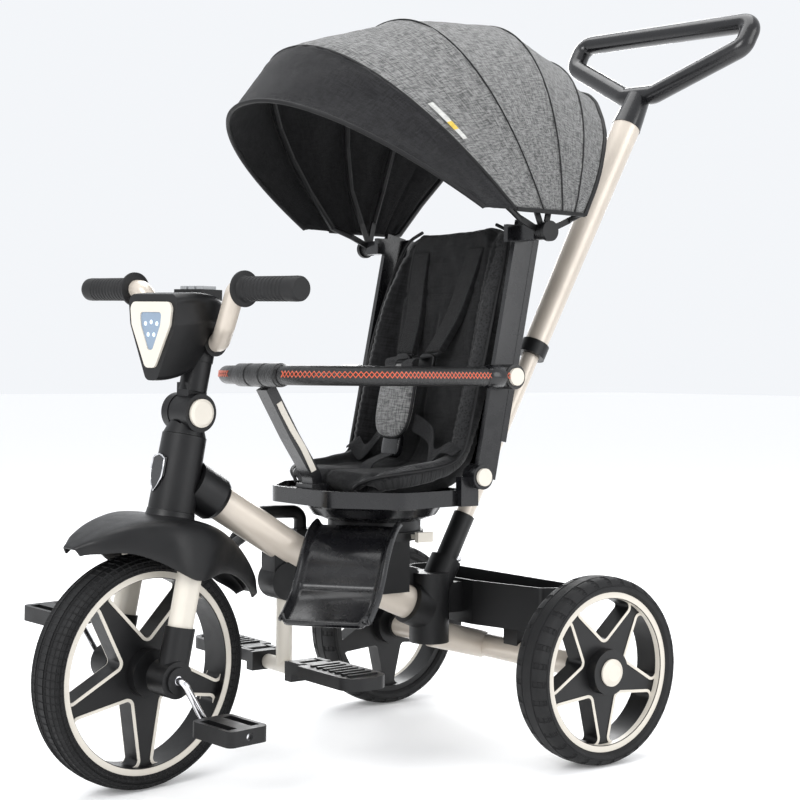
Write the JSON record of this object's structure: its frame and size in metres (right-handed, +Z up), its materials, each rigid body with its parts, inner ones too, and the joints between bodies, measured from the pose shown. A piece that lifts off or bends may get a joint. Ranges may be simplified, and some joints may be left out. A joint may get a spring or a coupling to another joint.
{
  "type": "children's tricycle",
  "caption": "Steel-tube child tricycle with swivelling padded seat, folding sun hood, guard bar, foot rests, rear basket, front lamp and a steering push handle.",
  "frame": {"origin": "ground plane under the centre of the tricycle's bounding box", "axes": "+Z up, -Y the way the tricycle drives, +X the rider's left"},
  "size_m": [0.564, 1.1212, 1.1077],
  "materials": {
    "frame_paint": "satin",
    "black_plastic": "satin",
    "gloss_black": "glossy",
    "cream_plastic": "satin",
    "tyre": "matte",
    "rim_black": "satin",
    "steel": "satin",
    "chrome": "polished",
    "grip": "matte",
    "grey_melange": "woven",
    "charcoal_fabric": "woven",
    "pad_fabric": "woven",
    "guard_leather": "grained",
    "lens": "glossy",
    "button_grey": "satin",
    "badge": "glossy"
  },
  "bodies": {
    "frame": {"main_tube": "frame_paint", "head_housing": "black_plastic", "bushes": "black_plastic", "badge": "badge", "knuckle": "black_plastic", "rear_frame": "frame_paint", "rear_axle": "steel", "basket": "black_plastic", "seat_carrier": "black_plastic", "peg_mounts": "black_plastic", "peg_post": "cream_plastic"},
    "swivel_lever": {"swivel_lever": "cream_plastic"},
    "footrest": {"footrest": "gloss_black"},
    "peg_left": {"peg_left": "black_plastic"},
    "peg_right": {"peg_right": "black_plastic"},
    "rear_wheel_left": {"rear_tyre_left": "tyre", "rear_rim_left": "rim_black"},
    "rear_wheel_right": {"rear_tyre_right": "tyre", "rear_rim_right": "rim_black"},
    "steering": {"fork": "cream_plastic", "fork_sleeves": "black_plastic", "fender": "black_plastic", "stem_base": "black_plastic"},
    "fold_button": {"fold_button": "cream_plastic"},
    "handlebar": {"stem": "cream_plastic", "handlebar": "frame_paint", "grips": "grip", "lamp_shell": "black_plastic", "lamp_trim": "cream_plastic", "lamp_lens": "lens"},
    "light_buttons": {"light_buttons": "button_grey"},
    "front_wheel": {"front_tyre": "tyre", "front_rim": "rim_black", "front_trim": "cream_plastic", "crank": "chrome"},
    "pedal_left": {"pedal_left": "black_plastic"},
    "pedal_right": {"pedal_right": "black_plastic"},
    "seat": {"turntable": "black_plastic", "seat_base": "gloss_black", "seat_pad": "pad_fabric", "crotch_post": "black_plastic"},
    "backrest": {"back_frame": "gloss_black", "back_pad": "pad_fabric", "back_pins": "black_plastic", "hoop_rear": "black_plastic", "hood_fabric": "grey_melange"},
    "recline_button_left": {"recline_button_left": "cream_plastic"},
    "recline_button_right": {"recline_button_right": "cream_plastic"},
    "guard_button_left": {"guard_button_left": "cream_plastic"},
    "guard_button_right": {"guard_button_right": "cream_plastic"},
    "guard_bar": {"guard_bar": "guard_leather"},
    "hood_front": {"hoop_front": "black_plastic", "hood_visor": "charcoal_fabric"},
    "hood_mid_front": {"hoop_mid_front": "black_plastic"},
    "hood_mid_rear": {"hoop_mid_rear": "black_plastic"},
    "handle_swivel": {"handle_socket": "black_plastic", "handle_lower_tube": "frame_paint"},
    "handle_slide": {"handle_collar": "black_plastic", "handle_upper_tube": "frame_paint", "handle_loop": "gloss_black"}
  },
  "joints": [
    {"name": "swivel_release", "type": "slide", "parent": "frame", "child": "swivel_lever", "axis": [1, 0, 0], "range_m": [0, 0.005], "stiffness_N_per_m": 600},
    {"name": "footrest_fold", "type": "hinge", "parent": "frame", "child": "footrest", "pos_m": [0.05172, -0.10945, 0.314], "axis": [0.788, 0.6157, 0], "range_deg": [-40, 0]},
    {"name": "peg_left_fold", "type": "hinge", "parent": "frame", "child": "peg_left", "pos_m": [0.074, -0.19326, 0.141], "axis": [0, -1, 0], "range_deg": [0, 13]},
    {"name": "peg_right_fold", "type": "hinge", "parent": "frame", "child": "peg_right", "pos_m": [-0.074, -0.19326, 0.141], "axis": [0, 1, 0], "range_deg": [0, 80]},
    {"name": "rear_left_spin", "type": "hinge", "parent": "frame", "child": "rear_wheel_left", "pos_m": [0.247, 0.15674, 0.1287], "axis": [1, 0, 0], "continuous": true},
    {"name": "rear_right_spin", "type": "hinge", "parent": "frame", "child": "rear_wheel_right", "pos_m": [-0.247, 0.15674, 0.1287], "axis": [1, 0, 0], "continuous": true},
    {"name": "steer", "type": "hinge", "parent": "frame", "child": "steering", "pos_m": [0, -0.35816, 0.4], "axis": [0, 0.1942, 0.981], "range_deg": [-33.6, 16.4]},
    {"name": "stem_release", "type": "slide", "parent": "steering", "child": "fold_button", "axis": [-0.9888, -0.1467, 0.029], "range_m": [0, 0.003], "stiffness_N_per_m": 800},
    {"name": "stem_fold", "type": "hinge", "parent": "steering", "child": "handlebar", "pos_m": [0, -0.34231, 0.48], "axis": [0.9888, 0.1467, -0.029], "range_deg": [0, 50]},
    {"name": "light_press", "type": "slide", "parent": "handlebar", "child": "light_buttons", "axis": [0, 0, -1], "range_m": [0, 0.0015], "stiffness_N_per_m": 800},
    {"name": "front_spin", "type": "hinge", "parent": "steering", "child": "front_wheel", "pos_m": [0.00046, -0.41072, 0.14999], "axis": [0.9888, 0.1467, -0.029], "continuous": true},
    {"name": "pedal_left_spin", "type": "hinge", "parent": "front_wheel", "child": "pedal_left", "pos_m": [0.13554, -0.35821, 0.09051], "axis": [0.9888, 0.1467, -0.029], "continuous": true},
    {"name": "pedal_right_spin", "type": "hinge", "parent": "front_wheel", "child": "pedal_right", "pos_m": [-0.13463, -0.46323, 0.20948], "axis": [0.9888, 0.1467, -0.029], "continuous": true},
    {"name": "seat_swivel", "type": "hinge", "parent": "frame", "child": "seat", "pos_m": [0, -0.04326, 0.32], "axis": [0, 0, 1], "range_deg": [-180, 180]},
    {"name": "recline", "type": "hinge", "parent": "seat", "child": "backrest", "pos_m": [0, 0.02374, 0.392], "axis": [-1, 0, 0], "range_deg": [0, 10]},
    {"name": "recline_press_left", "type": "slide", "parent": "backrest", "child": "recline_button_left", "axis": [-1, 0, 0], "range_m": [0, 0.003], "stiffness_N_per_m": 800},
    {"name": "recline_press_right", "type": "slide", "parent": "backrest", "child": "recline_button_right", "axis": [1, 0, 0], "range_m": [0, 0.003], "stiffness_N_per_m": 800},
    {"name": "guard_lift", "type": "hinge", "parent": "backrest", "child": "guard_bar", "pos_m": [0, 0.06175, 0.529], "axis": [-1, 0, 0], "range_deg": [0, 75]},
    {"name": "guard_press_left", "type": "slide", "parent": "guard_bar", "child": "guard_button_left", "axis": [-1, 0, 0], "range_m": [0, 0.003], "stiffness_N_per_m": 800},
    {"name": "guard_press_right", "type": "slide", "parent": "guard_bar", "child": "guard_button_right", "axis": [1, 0, 0], "range_m": [0, 0.003], "stiffness_N_per_m": 800},
    {"name": "hood_fold", "type": "hinge", "parent": "backrest", "child": "hood_front", "pos_m": [0, 0.09075, 0.727], "axis": [-1, 0, 0], "range_deg": [0, 40], "deforming": ["hood_fabric"]},
    {"name": "hood_follow_front", "type": "hinge", "parent": "backrest", "child": "hood_mid_front", "pos_m": [0, 0.09075, 0.727], "axis": [-1, 0, 0], "range_deg": [0, 28]},
    {"name": "hood_follow_rear", "type": "hinge", "parent": "backrest", "child": "hood_mid_rear", "pos_m": [0, 0.09075, 0.727], "axis": [-1, 0, 0], "range_deg": [0, 16.5]},
    {"name": "handle_turn", "type": "hinge", "parent": "frame", "child": "handle_swivel", "pos_m": [0, 0.05575, 0.203], "axis": [0, 0.4756, 0.8796], "range_deg": [-20, 9.8]},
    {"name": "handle_slide", "type": "slide", "parent": "handle_swivel", "child": "handle_slide", "axis": [0, 0.4756, 0.8796], "range_m": [-0.225, 0]}
  ],
  "couplings": [
    {"joint": "hood_follow_front", "follows": "hood_fold", "ratio": 0.69},
    {"joint": "hood_follow_rear", "follows": "hood_fold", "ratio": 0.4},
    {"joint": "handle_turn", "follows": "steer", "ratio": 0.593}
  ]
}
